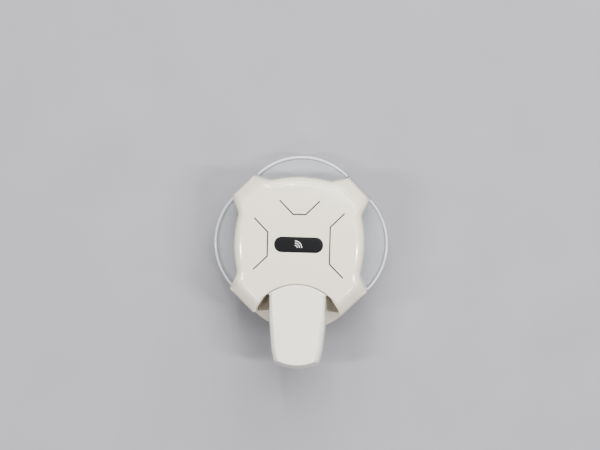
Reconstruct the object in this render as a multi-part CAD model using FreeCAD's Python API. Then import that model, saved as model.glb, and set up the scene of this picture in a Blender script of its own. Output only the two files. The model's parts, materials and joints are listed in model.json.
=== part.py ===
import FreeCAD, Part
import math
import os
from FreeCAD import Vector

# Three-radius corner rounder, in millimetres. The origin is the middle of the body on the
# table, +Z is up, and the lever points to -Y. The 10 mm station is at +X, the 7 mm station
# at -X and the 4 mm station at +Y.

# Levels above the table
TRAY_FLOOR = 1.5
RIB_BOTTOM = 6.5
HOUSING_BOTTOM = 10.0
DIE_BOTTOM = 11.0
SLOT_BOTTOM = 13.0
SLOT_TOP = 15.0
STRIPPER_TOP = 16.2
CARRIER_BOTTOM = 20.0
CARRIER_TOP = 27.0
PAD_TOP = 29.4
COVER_TOP = 41.0
OVERRUN = 1.0  # how far a cutter runs past what it cuts

# Outline of the base and the body
FLAT_REACH = 34.0
LOBE_RADIUS = 27.5
BULGE_RADIUS = 48.0
NECK_RADIUS = 5.0
# A scalloped side: tip and neck as (out from the middle, along the side), and the bulge
SIDE = ((28.9, 19.18), (25.6, 12.4), 28.3)
REAR_SIDE = ((28.2, 19.88), (26.5, 12.6), 29.2)
SIDES = {0: SIDE, 90: REAR_SIDE, 180: SIDE}
ARCH_CENTRE_Y = -36.9
ARCH_RADIUS = 20.4
ARCH_ROUND = 0.98
NOTCH_TOP = (12.7, -20.9)
NOTCH_MIDDLE = (16.8, -27.2)
NOTCH_ROUND = 3.0
NOTCH_END = (17.2, -30.4)

# Top cover
COVER_WALL = 2.0
COVER_ROOF = 2.2
CROWN_RADIUS = 260.0
CORNER_SLOPE_START = 28.6
CORNER_SLOPE_LEVEL = 40.0
CORNER_SLOPE_FALL = 1.18
INNER_SLOPE_DROP = 0.4
COVER_EDGE = 1.0
DOOR_HALF_WIDTH = 12.4
DOOR_Y = (-30.0, -12.0)
DOOR_BOTTOM = 19.4
DOOR_TOP = 38.0
SCREW_PLACE = 19.1
BOSS_RADIUS = 3.5

# Chip tray
TRAY_WALL = 1.5
WING_TOP = 12.9
DECK = 1.5
FLOOR_INSET = 1.7
TRAY_GAP = 0.15
PAN_HALF_WIDTH = 23.0
PAN_DIAGONAL = 22.6
PAN_CORNER = 3.0
OPEN_FRONT = (10.0, -48.0)
TIP_SPREAD = 1.5
RIB = 1.3
RIB_GAP = 0.12

# Cutting stations: direction in degrees and corner radius
STATIONS = {"punch_r10": (0, 10.0), "punch_r4": (90, 4.0), "punch_r7": (180, 7.0)}
CHORD_PLACE = 12.7
HORN = 0.8
PUNCH_BACK = 1.0
PUNCH_TIP = 15.3
PUNCH_HEAD = 24.0
DIE_GAP = 0.05
STRIPPER_GAP = 0.12
SPACER_GAP = 0.3

# Die set
DIE_HALF = (19.0, 17.0)
DIE_CORNER = 6.0
DIE_RECESS_GAP = 0.2
DIE_SCREW_PLACES = [(-8.5, -12.2), (8.5, -12.2), (8.5, 14.2), (-8.5, 14.2)]
DIE_SCREW_RADIUS = 1.1
DIE_SCREW_HEAD = 1.9
DRIVE_SLOT = (0.3, 0.5)
# Right half of the stripper plate, from front to rear
STRIPPER_HALF = [(6.0, -14.0), (10.0, -16.2), (15.0, -16.2), (19.0, -12.0), (19.0, 10.7), (13.0, 16.7)]

# Guide posts and springs
POST_PLACES = {
    "guide_post_front_left": (-14.2, -11.6),
    "guide_post_front_right": (14.2, -11.6),
    "guide_post_rear_left": (-14.2, 12.4),
    "guide_post_rear_right": (14.2, 12.4),
}
POST_RADIUS = 1.5
POST_TOP = 26.5
RUNNING_GAP = 0.05
POCKET_RADIUS = 3.1
POCKET_TOP = 23.0
SPRING_RADIUS = 2.2
SPRING_WIRE = 0.25
SPRING_TURNS = 5

# Carrier and its fastening
CARRIER_HALF = [(6.0, -14.2), (9.0, -15.4), (16.2, -15.4), (18.2, -13.4), (18.2, 14.2), (16.2, 16.2)]
PAD_HALF_WIDTH = 8.2
PAD_Y = (-12.0, 8.0)
CARRIER_SCREW_Y = (-9.5, -3.0)
CARRIER_SCREW_RADIUS = 1.25
CARRIER_SCREW_HEAD = 2.4
CARRIER_SCREW_END = 21.5

# Housing screws
HOUSING_SCREW_RADIUS = 1.3
HOUSING_SCREW_HEAD = 2.5
HOUSING_SCREW_GAP = 0.2
DRIVE_RADIUS = 0.9
DRIVE_DEPTH = 1.2
HOUSING_SCREW_SEAT = 12.0
HOUSING_SCREW_END = 26.0

# Lever
PIVOT_Y = 20.0
PIVOT_Z = 33.0
PIN_RADIUS = 1.5
PIVOT_BOSS = 3.4
PIVOT_POST_X = (12.0, 15.2)
PIVOT_POST_Y = (17.0, 22.5)
PIVOT_POST_TOP = 36.2
ARM_HALF_WIDTH = 11.0
ARM_FRONT_Y = -18.0
ARM_RIB = 2.4
ARM_TOP = 37.4
ARM_PLATE = 34.5
ARM_RIB_BOTTOM = 31.5
NOSE_Y = 3.0
NOSE_Z = 31.0
NOSE_LUG = 3.2
LEVER_GAP = 0.35
HANDLE_HALF_WIDTH = 12.2
HANDLE_SIDE = [(9.3, -49.8, 2.0), (10.8, -44.0, 10.0), (11.9, -32.0, 30.0)]
HANDLE_NOSE = (-53.2, 20.0)
HANDLE_REAR_Y = -14.0
HANDLE_REAR_Z = 40.5
HANDLE_MIDDLE = (-34.0, 39.45)
HANDLE_CREASE = (-50.4, 37.0)
HANDLE_FRONT = (-52.3, 33.8)
HANDLE_BOTTOM = 28.5
HANDLE_HEEL_Y = -38.0
HANDLE_TIP_BOTTOM = 31.5
HANDLE_WALL = 1.8
HOLLOW_ROUND = 0.85
HANDLE_EDGE = 1.5
EDGE_LEVEL = 33.5
SLAB = 20.0


def rounded(points, inset=0.0):
    """Face of a closed outline of (x, y, corner radius), counter-clockwise, moved in by inset."""
    count = len(points)
    lines = []
    for i in range(count):
        start = Vector(points[i][0], points[i][1], 0)
        end = Vector(points[(i + 1) % count][0], points[(i + 1) % count][1], 0)
        along = (end - start).normalize()
        inward = Vector(-along.y, along.x, 0)
        lines.append((start + inward * inset, along))
    corners = []
    for i in range(count):
        p, d = lines[i - 1]
        q, e = lines[i]
        cross = d.x * e.y - d.y * e.x
        reach = ((q - p).x * e.y - (q - p).y * e.x) / cross
        vertex = p + d * reach
        radius = points[i][2]
        if radius > 0:
            radius = max(radius - math.copysign(inset, cross), 0.0)
        turn = math.acos(max(-1.0, min(1.0, d.dot(e))))
        back = radius * math.tan(turn / 2)
        crown = vertex + (e - d).normalize() * (radius / math.cos(turn / 2) - radius)
        corners.append((radius, vertex - d * back, crown, vertex + e * back))
    edges = []
    for i in range(count):
        radius, start, crown, end = corners[i]
        if radius > 0:
            edges.append(Part.Arc(start, crown, end).toShape())
        following = corners[(i + 1) % count][1]
        if (following - end).Length > 1e-6:
            edges.append(Part.LineSegment(end, following).toShape())
    return Part.Face(Part.Wire(edges))


def prism(face, bottom, top):
    """Upright solid on a flat face drawn at z = 0."""
    base = face.copy()
    base.translate(Vector(0, 0, bottom))
    return base.extrude(Vector(0, 0, top - bottom))


def box(x, y, z):
    """Box between pairs of limits."""
    size = (x[1] - x[0], y[1] - y[0], z[1] - z[0])
    return Part.makeBox(*size, Vector(x[0], y[0], z[0]))


def rod(radius, place, bottom, top):
    """Upright cylinder at an (x, y) place."""
    return Part.makeCylinder(radius, top - bottom, Vector(place[0], place[1], bottom))


def cross_rod(radius, half_length, y, z):
    """Cylinder along X."""
    return Part.makeCylinder(radius, 2 * half_length, Vector(-half_length, y, z), Vector(1, 0, 0))


def turned(points, angle):
    """Outline points turned about the origin."""
    c = math.cos(math.radians(angle))
    s = math.sin(math.radians(angle))
    return [(x * c - y * s, x * s + y * c, r) for x, y, r in points]


def square_places(distance):
    """Four places on the diagonals."""
    return [(sx * distance, sy * distance) for sx in (-1, 1) for sy in (-1, 1)]


def station_side(side, inset=0.0, spread=1.0):
    """Scalloped side of the body, drawn at +X; spread runs the tips out past the corners."""
    tip, neck, bulge = side
    neck_x = neck[0] - inset
    tip_x = neck_x + (tip[0] - neck[0]) * spread
    tip_y = neck[1] + (tip[1] + inset - neck[1]) * spread
    return [
        (tip_x, -tip_y, 0.0),
        (neck_x, -neck[1], NECK_RADIUS),
        (bulge - inset, 0.0, BULGE_RADIUS),
        (neck_x, neck[1], NECK_RADIUS),
        (tip_x, tip_y, 0.0),
    ]


def three_sides(inset=0.0, spread=1.0):
    """The scalloped sides of the three stations, with the front left open."""
    points = []
    for angle, side in SIDES.items():
        points += turned(station_side(side, inset, spread), angle)
    return points


def base_outline():
    """Rounded square standing on its corner: the footprint of the tray."""
    reach = FLAT_REACH * math.sqrt(2)
    points = []
    for angle in (0, 90, 180, 270):
        points += turned([(reach, 0.0, LOBE_RADIUS)], angle)
    return points


def housing_outline(inset=0.0):
    """Scalloped at the stations, with the full round lobe of the base at the front."""
    return three_sides(inset) + [(0.0, -FLAT_REACH * math.sqrt(2), LOBE_RADIUS)]


def cover_outline():
    """Scalloped at the stations and notched for the lever at the front."""
    arch_slope = NOTCH_TOP[0] / (NOTCH_TOP[1] - ARCH_CENTRE_Y)
    arch_y = NOTCH_TOP[1] + NOTCH_TOP[0] * arch_slope
    left = [
        (-NOTCH_END[0], NOTCH_END[1], 0.0),
        (-NOTCH_MIDDLE[0], NOTCH_MIDDLE[1], NOTCH_ROUND),
        (-NOTCH_TOP[0], NOTCH_TOP[1], 0.0),
    ]
    right = [(-x, y, r) for x, y, r in reversed(left)]
    return three_sides() + left + [(0.0, arch_y, ARCH_RADIUS * ARCH_ROUND)] + right


def pan_outline():
    """Square with cut, rounded corners."""
    short = PAN_DIAGONAL * math.sqrt(2) - PAN_HALF_WIDTH
    side = [(PAN_HALF_WIDTH, -short, PAN_CORNER), (PAN_HALF_WIDTH, short, PAN_CORNER)]
    points = []
    for angle in (0, 90, 180, 270):
        points += turned(side, angle)
    return points


def mirrored(half):
    """Whole outline from its right half, listed from front to rear."""
    return [(x, y, 0.0) for x, y in half] + [(-x, y, 0.0) for x, y in reversed(half)]


def chamfered(half_x, half_y, corner):
    """Rectangle with cut corners, as outline points."""
    right = [
        (half_x - corner, -half_y),
        (half_x, corner - half_y),
        (half_x, half_y - corner),
        (half_x - corner, half_y),
    ]
    return mirrored(right)


def punch_face(name, gap=0.0):
    """Plan of a punch, grown by gap: straight back and sides, two horns and the round it leaves."""
    angle, radius = STATIONS[name]
    tangent = radius / math.sqrt(2)
    apex = CHORD_PLACE - tangent
    back = apex - PUNCH_BACK - gap
    side = tangent + HORN + gap
    horn = CHORD_PLACE + HORN + gap * (1 + math.sqrt(2))
    chord = CHORD_PLACE + gap * math.sqrt(2)
    outline = [
        Vector(chord, tangent, 0),
        Vector(horn, side, 0),
        Vector(back, side, 0),
        Vector(back, -side, 0),
        Vector(horn, -side, 0),
        Vector(chord, -tangent, 0),
    ]
    nearest = Vector(apex + radius * (math.sqrt(2) - 1) + gap, 0, 0)
    arc = Part.Arc(outline[-1], nearest, outline[0]).toShape()
    face = Part.Face(Part.Wire(Part.makePolygon(outline).Edges + [arc]))
    face.rotate(Vector(0, 0, 0), Vector(0, 0, 1), angle)
    return face


def paper_wedge(name, bottom, top):
    """Quarter-turn opening that a paper corner slides into."""
    angle, radius = STATIONS[name]
    apex = CHORD_PLACE - radius / math.sqrt(2)
    reach = 40.0
    points = [Vector(apex, 0, 0), Vector(apex + reach, -reach, 0), Vector(apex + reach, reach, 0)]
    face = Part.Face(Part.makePolygon(points + [points[0]]))
    face.rotate(Vector(0, 0, 0), Vector(0, 0, 1), angle)
    return prism(face, bottom, top)


def screw_hole(place, top, head, radius, end):
    """The room of a countersunk screw whose head is flush at the top."""
    seat = top - (head - radius)
    cone = Part.makeCone(radius, head, head - radius, Vector(place[0], place[1], seat))
    return cone.fuse(rod(radius, place, end, seat))


def countersunk_screw(place, top, head, radius, end):
    """Slotted screw with its head down flush in a countersink."""
    half_width, depth = DRIVE_SLOT
    slot_y = (place[1] - half_width, place[1] + half_width)
    slot = box((place[0] - head, place[0] + head), slot_y, (top - depth, top))
    return screw_hole(place, top, head, radius, end).cut(slot).removeSplitter()


def edges_above(shape, level):
    """Edges that lie wholly above a level and aren't upright."""
    chosen = []
    for edge in shape.Edges:
        bounds = edge.BoundBox
        if bounds.ZMin > level and bounds.DiagonalLength - bounds.ZLength > 1e-3:
            chosen.append(edge)
    return chosen


def dome(drop):
    """Ball that crowns the roof."""
    centre = Vector(0, 0, COVER_TOP - drop - CROWN_RADIUS)
    return Part.makeSphere(CROWN_RADIUS, centre)


def corner_slopes(body, shift=0.0, drop=0.0):
    """Cut the four corners down to the edge of the base."""
    start = CORNER_SLOPE_START - shift
    level = CORNER_SLOPE_LEVEL - drop
    width = 30.0
    fall = CORNER_SLOPE_FALL * width
    points = [
        Vector(start, -width, level),
        Vector(start + width, -width, level - fall),
        Vector(start + width, -width, level + width),
        Vector(start, -width, level + width),
    ]
    for angle in (45, 135, 225, 315):
        wedge = Part.Face(Part.makePolygon(points + [points[0]])).extrude(Vector(0, 2 * width, 0))
        wedge.rotate(Vector(0, 0, 0), Vector(0, 0, 1), angle)
        body = body.cut(wedge)
    return body


def make_top_cover():
    """Crowned shell with bosses for the housing screws and a doorway for the lever."""
    outer = prism(rounded(cover_outline()), SLOT_TOP, COVER_TOP + OVERRUN).common(dome(0.0))
    outer = corner_slopes(outer)
    outer = outer.makeFillet(COVER_EDGE, edges_above(outer, CARRIER_TOP))
    inner = prism(rounded(cover_outline(), COVER_WALL), SLOT_TOP - OVERRUN, COVER_TOP)
    inner = corner_slopes(inner.common(dome(COVER_ROOF)), COVER_WALL, INNER_SLOPE_DROP)
    cover = outer.cut(inner)
    for place in square_places(SCREW_PLACE):
        cover = cover.fuse(rod(BOSS_RADIUS, place, SLOT_TOP, COVER_TOP).common(outer))
    for place in square_places(SCREW_PLACE):
        cover = cover.cut(rod(HOUSING_SCREW_RADIUS, place, SLOT_TOP - OVERRUN, HOUSING_SCREW_END + OVERRUN))
    door = box((-DOOR_HALF_WIDTH, DOOR_HALF_WIDTH), DOOR_Y, (DOOR_BOTTOM, DOOR_TOP))
    return cover.cut(door).removeSplitter()


def make_lower_housing():
    """Plate with the paper slots, the die recess, the pivot posts and the rib that holds the tray."""
    plate = prism(rounded(housing_outline(FLOOR_INSET)), HOUSING_BOTTOM, SLOT_BOTTOM)
    spacer = prism(rounded(housing_outline()), SLOT_BOTTOM, SLOT_TOP)
    for name in STATIONS:
        spacer = spacer.cut(paper_wedge(name, SLOT_BOTTOM - OVERRUN, SLOT_TOP + OVERRUN))
        spacer = spacer.cut(prism(punch_face(name, SPACER_GAP), SLOT_BOTTOM, SLOT_TOP))
    half_x = DIE_HALF[0] + DIE_RECESS_GAP
    half_y = DIE_HALF[1] + DIE_RECESS_GAP
    recess = prism(rounded(chamfered(half_x, half_y, DIE_CORNER)), HOUSING_BOTTOM - OVERRUN, SLOT_BOTTOM)
    housing = plate.cut(recess).fuse(spacer)
    rib = prism(rounded(pan_outline(), RIB_GAP), RIB_BOTTOM, HOUSING_BOTTOM)
    inside_rib = rounded(pan_outline(), RIB_GAP + RIB)
    rib = rib.cut(prism(inside_rib, RIB_BOTTOM - OVERRUN, HOUSING_BOTTOM + OVERRUN))
    housing = housing.fuse(rib)
    for side in (-1, 1):
        x = sorted((side * PIVOT_POST_X[0], side * PIVOT_POST_X[1]))
        housing = housing.fuse(box(x, PIVOT_POST_Y, (SLOT_TOP, PIVOT_POST_TOP)))
    housing = housing.cut(cross_rod(PIN_RADIUS, PIVOT_POST_X[1] + OVERRUN, PIVOT_Y, PIVOT_Z))
    head_room = HOUSING_SCREW_HEAD + HOUSING_SCREW_GAP
    for place in square_places(SCREW_PLACE):
        housing = housing.cut(rod(head_room, place, HOUSING_BOTTOM - OVERRUN, HOUSING_SCREW_SEAT))
        housing = housing.cut(rod(HOUSING_SCREW_RADIUS, place, HOUSING_BOTTOM, SLOT_TOP + OVERRUN))
    for place in POST_PLACES.values():
        housing = housing.cut(rod(POST_RADIUS, place, SLOT_BOTTOM, SLOT_TOP + OVERRUN))
    for place in DIE_SCREW_PLACES:
        housing = housing.cut(rod(DIE_SCREW_RADIUS, place, SLOT_BOTTOM, SLOT_TOP + OVERRUN))
    return housing.removeSplitter()


def make_chip_tray():
    """Clear tray: a pan for the chips, and three wings that carry the paper."""
    footprint = base_outline()
    front_x, front_y = OPEN_FRONT
    around_housing = three_sides(FLOOR_INSET - TRAY_GAP, TIP_SPREAD)
    around_housing += [(-front_x, front_y, 0.0), (front_x, front_y, 0.0)]
    tray = prism(rounded(footprint), 0, WING_TOP)
    tray = tray.cut(prism(rounded(around_housing), HOUSING_BOTTOM, WING_TOP + OVERRUN))
    tray = tray.cut(prism(rounded(footprint, TRAY_WALL), -OVERRUN, HOUSING_BOTTOM - DECK))
    wings = prism(rounded(footprint, TRAY_WALL), HOUSING_BOTTOM - DECK - OVERRUN, WING_TOP - DECK)
    wings = wings.cut(prism(rounded(around_housing, -TRAY_WALL), 0, WING_TOP))
    tray = tray.cut(wings)
    pan = prism(rounded(pan_outline(), -TRAY_WALL), 0, HOUSING_BOTTOM)
    tray = tray.fuse(pan)
    return tray.cut(prism(rounded(pan_outline()), TRAY_FLOOR, WING_TOP)).removeSplitter()


def make_die_plate():
    """Hardened plate with one die hole for each punch."""
    plate = prism(rounded(chamfered(DIE_HALF[0], DIE_HALF[1], DIE_CORNER)), DIE_BOTTOM, SLOT_BOTTOM)
    for name in STATIONS:
        hole = punch_face(name, DIE_GAP)
        plate = plate.cut(prism(hole, DIE_BOTTOM - OVERRUN, SLOT_BOTTOM + OVERRUN))
    for place in DIE_SCREW_PLACES:
        plate = plate.cut(rod(DIE_SCREW_RADIUS, place, DIE_BOTTOM - OVERRUN, SLOT_BOTTOM + OVERRUN))
    return plate


def make_stripper_plate():
    """Plate over the paper slots that the punches slide through."""
    plate = prism(rounded(mirrored(STRIPPER_HALF)), SLOT_TOP, STRIPPER_TOP)
    bottom = SLOT_TOP - OVERRUN
    for name in STATIONS:
        plate = plate.cut(prism(punch_face(name, STRIPPER_GAP), bottom, STRIPPER_TOP + OVERRUN))
    for place in POST_PLACES.values():
        plate = plate.cut(rod(POST_RADIUS, place, bottom, STRIPPER_TOP + OVERRUN))
    for place in DIE_SCREW_PLACES:
        plate = plate.cut(screw_hole(place, STRIPPER_TOP, DIE_SCREW_HEAD, DIE_SCREW_RADIUS, bottom))
    return plate


def make_punch(name):
    """Hardened punch, pressed into the carrier."""
    return prism(punch_face(name), PUNCH_TIP, PUNCH_HEAD)


def make_punch_carrier():
    """Block that holds the three punches and slides on the four posts."""
    carrier = prism(rounded(mirrored(CARRIER_HALF)), CARRIER_BOTTOM, CARRIER_TOP)
    bottom = CARRIER_BOTTOM - OVERRUN
    top = CARRIER_TOP + OVERRUN
    for name in STATIONS:
        carrier = carrier.cut(prism(punch_face(name), bottom, PUNCH_HEAD))
    for place in POST_PLACES.values():
        carrier = carrier.cut(rod(POST_RADIUS + RUNNING_GAP, place, bottom, top))
        carrier = carrier.cut(rod(POCKET_RADIUS, place, bottom, POCKET_TOP))
    for y in CARRIER_SCREW_Y:
        carrier = carrier.cut(rod(CARRIER_SCREW_RADIUS, (0, y), CARRIER_SCREW_END, top))
    return carrier


def make_pressure_plate():
    """Steel pad on the carrier that the lever's nose presses."""
    plate = box((-PAD_HALF_WIDTH, PAD_HALF_WIDTH), PAD_Y, (CARRIER_TOP, PAD_TOP))
    bottom = CARRIER_TOP - OVERRUN
    for y in CARRIER_SCREW_Y:
        plate = plate.cut(screw_hole((0, y), PAD_TOP, CARRIER_SCREW_HEAD, CARRIER_SCREW_RADIUS, bottom))
    return plate


def make_housing_screws():
    """Four screws up through the lower housing into the cover's bosses."""
    screws = []
    for place in square_places(SCREW_PLACE):
        shank = rod(HOUSING_SCREW_RADIUS, place, HOUSING_SCREW_SEAT - OVERRUN, HOUSING_SCREW_END)
        head = rod(HOUSING_SCREW_HEAD, place, HOUSING_BOTTOM + HOUSING_SCREW_GAP, HOUSING_SCREW_SEAT)
        drive = rod(DRIVE_RADIUS, place, HOUSING_BOTTOM, HOUSING_BOTTOM + DRIVE_DEPTH)
        screws.append(head.fuse(shank).cut(drive).removeSplitter())
    return Part.makeCompound(screws)


def make_return_spring(place):
    """Compression spring round a guide post, from the stripper plate to its pocket."""
    bottom = STRIPPER_TOP + SPRING_WIRE
    height = POCKET_TOP - STRIPPER_TOP - 2 * SPRING_WIRE
    path = Part.makeHelix(height / SPRING_TURNS, height, SPRING_RADIUS)
    start = Part.Circle(Vector(SPRING_RADIUS, 0, 0), Vector(0, 1, 0), SPRING_WIRE)
    spring = Part.Wire(path).makePipeShell([Part.Wire(start.toShape())], True, True)
    spring.translate(Vector(place[0], place[1], bottom))
    return spring


def handle_outline(rear_round):
    """Plan of the grip that the thumb presses; rear_round scales the round of its rear edge."""
    rear_radius = ARCH_RADIUS - LEVER_GAP
    corner_y = ARCH_CENTRE_Y + math.sqrt(rear_radius ** 2 - HANDLE_HALF_WIDTH ** 2)
    rear_slope = HANDLE_HALF_WIDTH / (corner_y - ARCH_CENTRE_Y)
    rear_y = corner_y + HANDLE_HALF_WIDTH * rear_slope
    right = HANDLE_SIDE + [(HANDLE_HALF_WIDTH, corner_y, 0.0)]
    left = [(-x, y, r) for x, y, r in reversed(right)]
    return right + [(0.0, rear_y, rear_radius * rear_round)] + left + [(0.0, *HANDLE_NOSE)]


def side_profile(drop, lift):
    """Side view of the grip as a slab across X, with its top dropped and its bottom lowered."""
    start = Vector(-SLAB, HANDLE_REAR_Y, HANDLE_REAR_Z - drop)
    middle = Vector(-SLAB, HANDLE_MIDDLE[0], HANDLE_MIDDLE[1] - drop)
    crease = Vector(-SLAB, HANDLE_CREASE[0], HANDLE_CREASE[1] - drop)
    front = Vector(-SLAB, HANDLE_FRONT[0], HANDLE_FRONT[1] - drop)
    tip = Vector(-SLAB, HANDLE_FRONT[0], HANDLE_TIP_BOTTOM - lift)
    heel = Vector(-SLAB, HANDLE_HEEL_Y, HANDLE_BOTTOM - lift)
    rear = Vector(-SLAB, HANDLE_REAR_Y, HANDLE_BOTTOM - lift)
    edges = [
        Part.Arc(start, middle, crease).toShape(),
        Part.LineSegment(crease, front).toShape(),
        Part.LineSegment(front, tip).toShape(),
        Part.LineSegment(tip, heel).toShape(),
        Part.LineSegment(heel, rear).toShape(),
        Part.LineSegment(rear, start).toShape(),
    ]
    return Part.Face(Part.Wire(edges)).extrude(Vector(2 * SLAB, 0, 0))


def make_press_lever():
    """Lever: a hollow thumb grip, and an arm inside the body that reaches the pivot."""
    grip = prism(rounded(handle_outline(ARCH_ROUND)), 0, COVER_TOP).common(side_profile(0.0, 0.0))
    grip = grip.makeFillet(HANDLE_EDGE, edges_above(grip, EDGE_LEVEL))
    hollow = prism(rounded(handle_outline(HOLLOW_ROUND), HANDLE_WALL), 0, COVER_TOP)
    grip = grip.cut(hollow.common(side_profile(HANDLE_WALL, OVERRUN)))
    arm_y = (ARM_FRONT_Y, PIVOT_Y)
    arm = box((-ARM_HALF_WIDTH, ARM_HALF_WIDTH), arm_y, (ARM_PLATE, ARM_TOP))
    for side in (-1, 1):
        x = sorted((side * (ARM_HALF_WIDTH - ARM_RIB), side * ARM_HALF_WIDTH))
        arm = arm.fuse(box(x, arm_y, (ARM_RIB_BOTTOM, ARM_PLATE)))
        lug = cross_rod(NOSE_LUG, ARM_RIB / 2, NOSE_Y, NOSE_Z)
        lug.translate(Vector((x[0] + x[1]) / 2, 0, 0))
        arm = arm.fuse(lug)
    arm = arm.fuse(cross_rod(PIVOT_BOSS, ARM_HALF_WIDTH, PIVOT_Y, PIVOT_Z))
    arm = arm.cut(cross_rod(PIN_RADIUS + RUNNING_GAP, ARM_HALF_WIDTH + OVERRUN, PIVOT_Y, PIVOT_Z))
    arm = arm.cut(cross_rod(PIN_RADIUS, ARM_HALF_WIDTH + OVERRUN, NOSE_Y, NOSE_Z))
    return grip.fuse(arm).removeSplitter()


def main():
    """Build every sub-part and write one file for each."""
    parts = {
        "top_cover": make_top_cover(),
        "lower_housing": make_lower_housing(),
        "chip_tray": make_chip_tray(),
        "press_lever": make_press_lever(),
        "pivot_pin": cross_rod(PIN_RADIUS, PIVOT_POST_X[1], PIVOT_Y, PIVOT_Z),
        "nose_pin": cross_rod(PIN_RADIUS, ARM_HALF_WIDTH, NOSE_Y, NOSE_Z),
        "punch_carrier": make_punch_carrier(),
        "pressure_plate": make_pressure_plate(),
        "carrier_screws": Part.makeCompound([
            countersunk_screw((0, y), PAD_TOP, CARRIER_SCREW_HEAD, CARRIER_SCREW_RADIUS, CARRIER_SCREW_END)
            for y in CARRIER_SCREW_Y
        ]),
        "die_plate": make_die_plate(),
        "stripper_plate": make_stripper_plate(),
        "die_set_screws": Part.makeCompound([
            countersunk_screw(place, STRIPPER_TOP, DIE_SCREW_HEAD, DIE_SCREW_RADIUS, DIE_BOTTOM)
            for place in DIE_SCREW_PLACES
        ]),
        "housing_screws": make_housing_screws(),
    }
    for name in STATIONS:
        parts[name] = make_punch(name)
    for name, place in POST_PLACES.items():
        parts[name] = rod(POST_RADIUS, place, SLOT_BOTTOM, POST_TOP)
        parts[name.replace("guide_post", "return_spring")] = make_return_spring(place)
    os.makedirs("parts", exist_ok=True)
    for name, shape in parts.items():
        shape.exportStep("parts/" + name + ".step")
        print(name, len(shape.Solids), shape.isValid(), round(shape.Volume, 1))


main()
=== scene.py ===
import json
import math

import bmesh
import bpy
from mathutils import Matrix, Vector
from mathutils.geometry import delaunay_2d_cdt


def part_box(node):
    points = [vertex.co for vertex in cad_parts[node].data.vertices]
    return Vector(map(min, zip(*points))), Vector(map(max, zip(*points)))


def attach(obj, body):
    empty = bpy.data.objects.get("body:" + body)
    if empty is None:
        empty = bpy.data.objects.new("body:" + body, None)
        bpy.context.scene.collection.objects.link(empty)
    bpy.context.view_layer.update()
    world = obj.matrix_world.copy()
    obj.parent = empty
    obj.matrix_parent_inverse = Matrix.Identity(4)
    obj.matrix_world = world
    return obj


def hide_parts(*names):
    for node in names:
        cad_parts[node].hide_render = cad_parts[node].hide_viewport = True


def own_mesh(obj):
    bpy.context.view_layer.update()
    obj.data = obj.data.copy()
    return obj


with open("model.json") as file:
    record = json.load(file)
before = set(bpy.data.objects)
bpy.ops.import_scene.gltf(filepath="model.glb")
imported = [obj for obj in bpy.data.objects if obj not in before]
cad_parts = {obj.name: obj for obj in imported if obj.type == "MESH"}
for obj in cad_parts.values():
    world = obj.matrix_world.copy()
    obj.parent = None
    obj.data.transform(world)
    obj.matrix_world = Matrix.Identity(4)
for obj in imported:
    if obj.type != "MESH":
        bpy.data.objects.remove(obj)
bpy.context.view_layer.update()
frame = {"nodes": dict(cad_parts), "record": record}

# Looks of the three-radius corner rounder. Lengths in this file are millimetres, and every
# mesh is scaled to metres when its object is made.
MM = 0.001

# Levels and outlines, the same as the CAD part's
SLOT_TOP = 15.0
COVER_TOP = 40.95
CROWN_RADIUS = 260.0
FLAT_REACH = 34.0
LOBE_RADIUS = 27.5
WING_TOP = 12.9
WING_HALF_LENGTH = 19.0
RIM_RADIUS = 0.5
SIDE = ((28.9, 19.18), (25.6, 12.4), 28.3)
REAR_SIDE = ((28.2, 19.88), (26.5, 12.6), 29.2)
SIDES = {0: SIDE, 90: REAR_SIDE, 180: SIDE}
ARCH_CENTRE_Y = -36.9
ARCH_RADIUS = 20.4
NOTCH_TOP = (12.7, -20.9)
NOTCH_MIDDLE = (16.8, -27.2)
NOTCH_END = (17.2, -30.4)
CORNER_SLOPE_START = 28.6
CORNER_SLOPE_LEVEL = 40.0
CORNER_SLOPE_FALL = 1.18
CORNER_CROWN_RADIUS = 90.0
DOOR_HALF_WIDTH = 12.4
DOOR_BOTTOM = 19.4
DOOR_TOP = 38.0
DOOR_FRONT_Y = -22.9
DOOR_REAR_Y = -14.0
HANDLE_HALF_WIDTH = 12.2
HANDLE_SIDE = [(9.3, -49.8, 1.6), (10.8, -44.0, 28.0), (11.9, -32.0, 110.0)]
HANDLE_NOSE = (-53.2, 20.0)
STATIONS = (("r10", 0, 12.85, 7.6), ("r4", 90, 12.5, 2.6), ("r7", 180, 12.85, 4.95))
PIVOT = (20.0, 33.0)
NOSE = (3.0, 31.0)

# How finely loops and caps are divided
MIN_CORNER_STEPS = 7
MIN_CORNER_RADIUS = 0.12
CAP_CLEARANCE = 0.62
FULL_DRAFT_WEIGHT = 0.3


# ---------------------------------------------------------------- mesh helpers

def collected(name, bm, material, body, sharp_degrees=32.0):
    """Finish a bmesh drawn in millimetres as a smooth-shaded object that rides on a body."""
    bmesh.ops.scale(bm, vec=(MM, MM, MM), verts=bm.verts)
    bmesh.ops.recalc_face_normals(bm, faces=bm.faces)
    for face in bm.faces:
        face.smooth = True
    for edge in bm.edges:
        if len(edge.link_faces) == 2:
            edge.smooth = edge.calc_face_angle(0.0) < math.radians(sharp_degrees)
    mesh = bpy.data.meshes.new(name)
    bm.to_mesh(mesh)
    bm.free()
    mesh.materials.append(material)
    piece = bpy.data.objects.new(name, mesh)
    bpy.context.scene.collection.objects.link(piece)
    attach(piece, body)
    return piece


def turned(points, degrees):
    """Outline points (x, y, radius, edge weight) turned about the origin."""
    c = math.cos(math.radians(degrees))
    s = math.sin(math.radians(degrees))
    return [(x * c - y * s, x * s + y * c, r, w) for x, y, r, w in points]


def angle_between(d, e):
    """Angle between two unit directions."""
    return math.acos(max(-1.0, min(1.0, d.dot(e))))


def corner_steps(radius, turn, spacing):
    """Steps round a corner, the same at every inset."""
    return max(MIN_CORNER_STEPS, round(radius * turn / spacing))


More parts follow.
